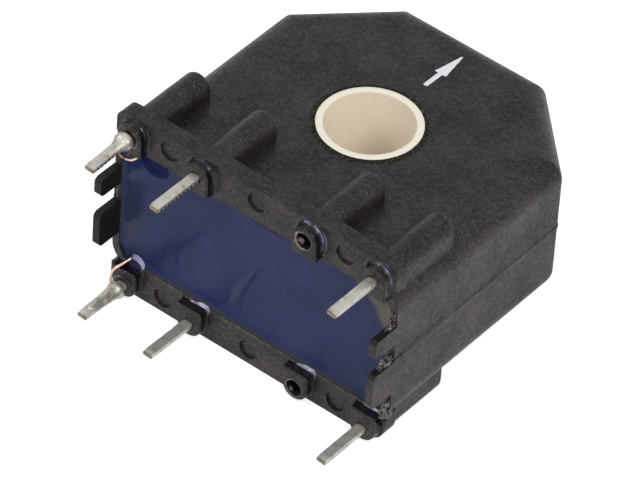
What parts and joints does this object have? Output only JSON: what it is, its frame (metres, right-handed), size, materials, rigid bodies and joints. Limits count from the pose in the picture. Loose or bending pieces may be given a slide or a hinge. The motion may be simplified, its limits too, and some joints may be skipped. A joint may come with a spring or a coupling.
{
  "type": "current sense transformer",
  "caption": "Board-mount current sense transformer: black six-sided housing with a lined through-hole, blue potting, side tabs and two rows of flat pins.",
  "frame": {"origin": "centre of the through-hole at mid-thickness of the housing", "axes": "+Z along the through-hole towards the face with the arrow, pins point to -Y, +X runs along the pin rows from the soldered pins to the far pin; it lies on its lower large face as in the picture"},
  "size_m": [0.021, 0.025, 0.0136],
  "materials": {
    "housing": "fine-grained moulded surface, black",
    "sleeve": "smooth, off-white",
    "adhesive": "cured, brown, slightly glossy",
    "resin": "cast, glossy, deep blue",
    "core": "coated",
    "magnet_wire": "enamelled copper",
    "solder": "smooth, bright",
    "pin_metal": "satin tin plating"
  },
  "bodies": {
    "root": {"housing": "housing", "bore_sleeve": "sleeve", "sleeve_adhesive_top": "adhesive", "sleeve_adhesive_bottom": "adhesive", "potting_resin": "resin", "toroid_core": "core", "secondary_winding": "magnet_wire", "lead_wire_upper": "magnet_wire", "lead_wire_lower": "magnet_wire", "solder_joint_upper": "solder", "solder_joint_lower": "solder", "pin_upper_1": "pin_metal", "pin_upper_2": "pin_metal", "pin_upper_4": "pin_metal", "pin_lower_1": "pin_metal", "pin_lower_2": "pin_metal", "pin_lower_4": "pin_metal"}
  },
  "joints": []
}
